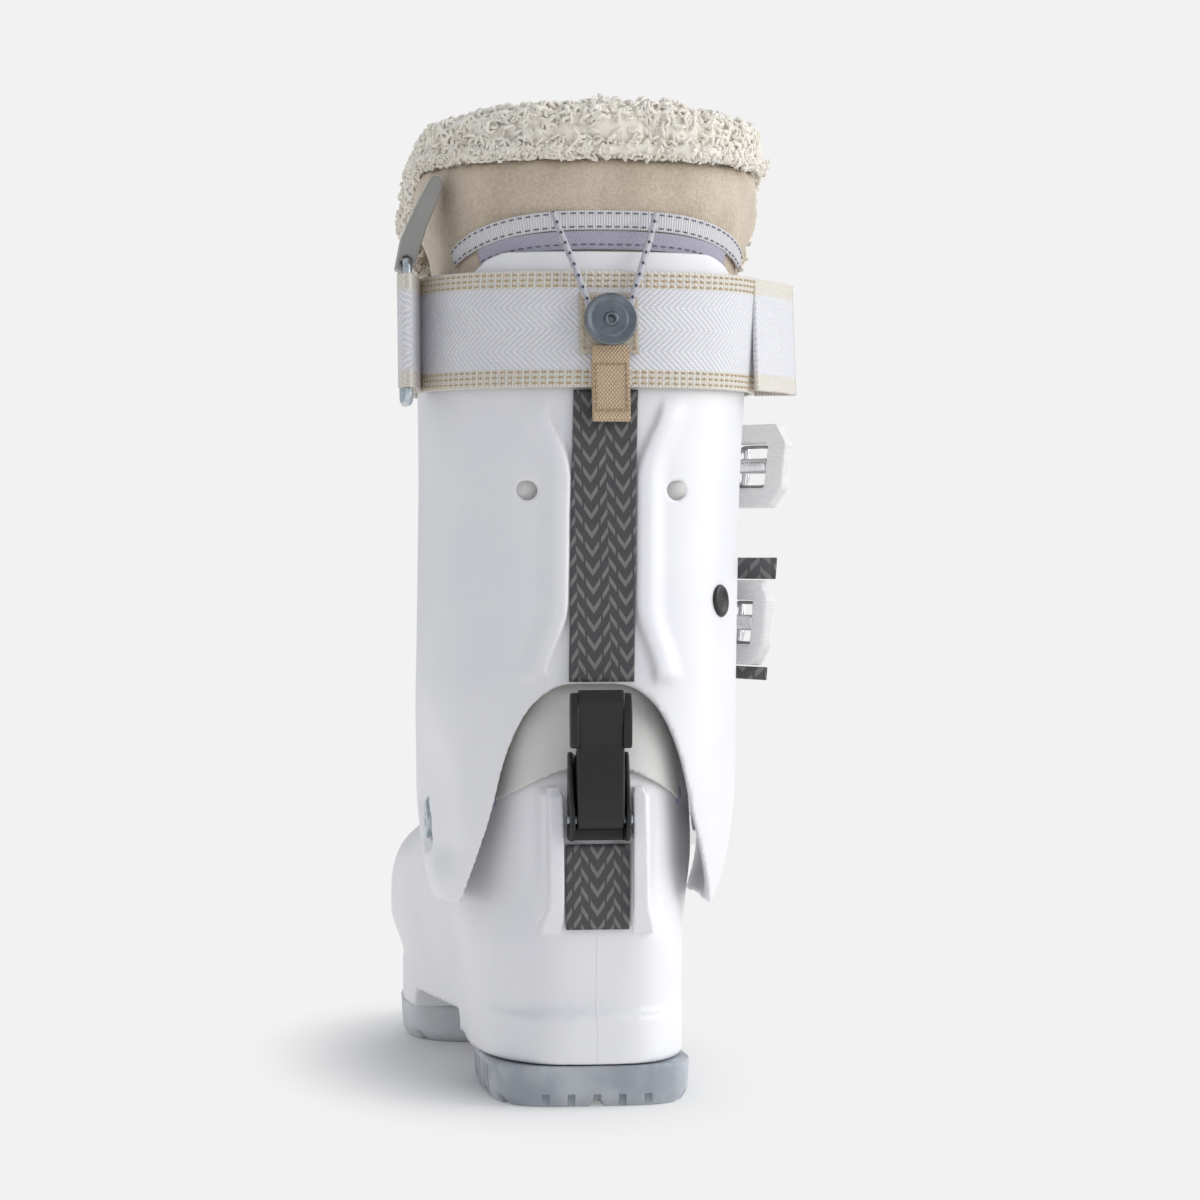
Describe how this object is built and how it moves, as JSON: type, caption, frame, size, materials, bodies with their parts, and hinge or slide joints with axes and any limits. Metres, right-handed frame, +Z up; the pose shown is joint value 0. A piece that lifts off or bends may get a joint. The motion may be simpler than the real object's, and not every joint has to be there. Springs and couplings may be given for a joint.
{
  "type": "alpine ski boot",
  "caption": "White women's alpine ski boot for the right foot, with an upper cuff on ankle pivots, a rear spine lever, buckles, a power strap and a fur-lined liner.",
  "frame": {"origin": "on the ground under the middle of the boot's box", "axes": "+X to the lateral (buckle) side, +Y from the heel to the toe, +Z up"},
  "size_m": [0.1446, 0.2964, 0.337],
  "materials": {
    "white_shell": "smooth satin white",
    "white_lever": "fine brushed white",
    "sole_rubber": "translucent grey-blue",
    "dark_strip": "dark grey with a light pattern",
    "black_lever": "fine textured black",
    "gasket": "matte ivory grey",
    "zinc": "bluish zinc",
    "chrome": "polished",
    "grey_plastic": "mid grey",
    "strap_web": "white herringbone webbing",
    "tan_web": "tan webbing",
    "suede": "beige suede",
    "fur": "cream shearling",
    "tape": "white ribbed tape",
    "cord": "white cord with dark flecks",
    "board": "dark moulded board"
  },
  "bodies": {
    "boot": {"lower_shell": "white_shell", "heel_sole": "sole_rubber", "heel_sole_screw_rear": "zinc", "heel_sole_screw_front": "zinc", "toe_sole": "sole_rubber", "toe_sole_screw_rear": "zinc", "toe_sole_screw_front": "zinc", "boot_board": "board", "liner_foot": "suede", "insole": "board", "pivot_rivet_medial": "zinc", "pivot_rivet_lateral": "zinc", "heel_strip": "dark_strip", "rear_gasket": "gasket", "lever_frame": "black_lever", "lever_pin": "zinc", "buckle_3_base": "white_lever", "buckle_3_pin": "zinc", "buckle_3_ladder": "chrome", "buckle_4_base": "white_lever", "buckle_4_pin": "zinc", "buckle_4_ladder": "chrome"},
    "cuff_body": {"cuff": "white_shell", "spine_strip": "dark_strip", "power_strap": "strap_web", "strap_patch": "tan_web", "cord_stud": "zinc", "pull_tab": "tan_web", "cord_loop": "cord", "liner_cuff": "suede", "liner_tongue": "suede", "liner_tape": "tape", "liner_mesh": "tape", "fur_collar": "fur", "buckle_1_base": "white_lever", "buckle_1_pin": "zinc", "buckle_1_ladder": "chrome", "buckle_2_base": "white_lever", "buckle_2_pin": "zinc", "buckle_2_ladder": "chrome"},
    "spine_lever_body": {"spine_lever": "black_lever"},
    "ring_body": {"strap_ring": "zinc"},
    "cam_body": {"strap_cam_lever": "grey_plastic"},
    "buckle_1_lever_body": {"buckle_1_lever": "white_lever"},
    "buckle_1_bail_body": {"buckle_1_bail": "chrome"},
    "buckle_2_lever_body": {"buckle_2_lever": "white_lever"},
    "buckle_2_bail_body": {"buckle_2_bail": "chrome"},
    "buckle_3_lever_body": {"buckle_3_lever": "white_lever"},
    "buckle_3_bail_body": {"buckle_3_bail": "chrome"},
    "buckle_4_lever_body": {"buckle_4_lever": "white_lever"},
    "buckle_4_bail_body": {"buckle_4_bail": "chrome"}
  },
  "joints": [
    {"name": "cuff_flex", "type": "hinge", "parent": "boot", "child": "cuff_body", "pos_m": [-0.01126, -0.0578, 0.09], "axis": [-1, 0, 0], "range_deg": [-12, 12], "stiffness_Nm_per_rad": 40},
    {"name": "spine_lever_hinge", "type": "hinge", "parent": "boot", "child": "spine_lever_body", "pos_m": [-0.01126, -0.1424, 0.095], "axis": [1, 0, 0], "range_deg": [0, 100]},
    {"name": "ring_swing", "type": "hinge", "parent": "cuff_body", "child": "ring_body", "pos_m": [-0.06886, -0.0823, 0.2575], "axis": [0, 0.1386, 0.9903], "range_deg": [0, 30]},
    {"name": "strap_cam_hinge", "type": "hinge", "parent": "ring_body", "child": "cam_body", "pos_m": [-0.06886, -0.0688, 0.2816], "axis": [0, -1, 0], "range_deg": [0, 80]},
    {"name": "buckle_1_lever_hinge", "type": "hinge", "parent": "cuff_body", "child": "buckle_1_lever_body", "pos_m": [0.04392, 0.00489, 0.21306], "axis": [0.1083, 0.0671, 0.9918], "range_deg": [0, 95]},
    {"name": "buckle_1_bail_hinge", "type": "hinge", "parent": "buckle_1_lever_body", "child": "buckle_1_bail_body", "pos_m": [0.05949, -0.0131, 0.21257], "axis": [0.1083, 0.0671, 0.9918], "range_deg": [-95, 0]},
    {"name": "buckle_2_lever_hinge", "type": "hinge", "parent": "cuff_body", "child": "buckle_2_lever_body", "pos_m": [0.04379, -0.0059, 0.15735], "axis": [0.0819, 0.0299, 0.9962], "range_deg": [0, 95]},
    {"name": "buckle_2_bail_hinge", "type": "hinge", "parent": "buckle_2_lever_body", "child": "buckle_2_bail_body", "pos_m": [0.05541, -0.02668, 0.15702], "axis": [0.0819, 0.0299, 0.9962], "range_deg": [-95, 0]},
    {"name": "buckle_3_lever_hinge", "type": "hinge", "parent": "boot", "child": "buckle_3_lever_body", "pos_m": [0.01005, 0.03434, 0.09852], "axis": [0.0786, -0.9574, 0.2778], "range_deg": [0, 95]},
    {"name": "buckle_3_bail_hinge", "type": "hinge", "parent": "buckle_3_lever_body", "child": "buckle_3_bail_body", "pos_m": [0.03365, 0.03543, 0.09562], "axis": [0.0786, -0.9574, 0.2778], "range_deg": [-95, 0]},
    {"name": "buckle_4_lever_hinge", "type": "hinge", "parent": "boot", "child": "buckle_4_lever_body", "pos_m": [0.00905, 0.07419, 0.0869], "axis": [0.0741, -0.9633, 0.258], "range_deg": [0, 95]},
    {"name": "buckle_4_bail_hinge", "type": "hinge", "parent": "buckle_4_lever_body", "child": "buckle_4_bail_body", "pos_m": [0.03265, 0.07521, 0.08394], "axis": [0.0741, -0.9633, 0.258], "range_deg": [-95, 0]}
  ],
  "couplings": [
    {"joint": "buckle_1_bail_hinge", "follows": "buckle_1_lever_hinge", "ratio": -1},
    {"joint": "buckle_2_bail_hinge", "follows": "buckle_2_lever_hinge", "ratio": -1},
    {"joint": "buckle_3_bail_hinge", "follows": "buckle_3_lever_hinge", "ratio": -1},
    {"joint": "buckle_4_bail_hinge", "follows": "buckle_4_lever_hinge", "ratio": -1}
  ]
}
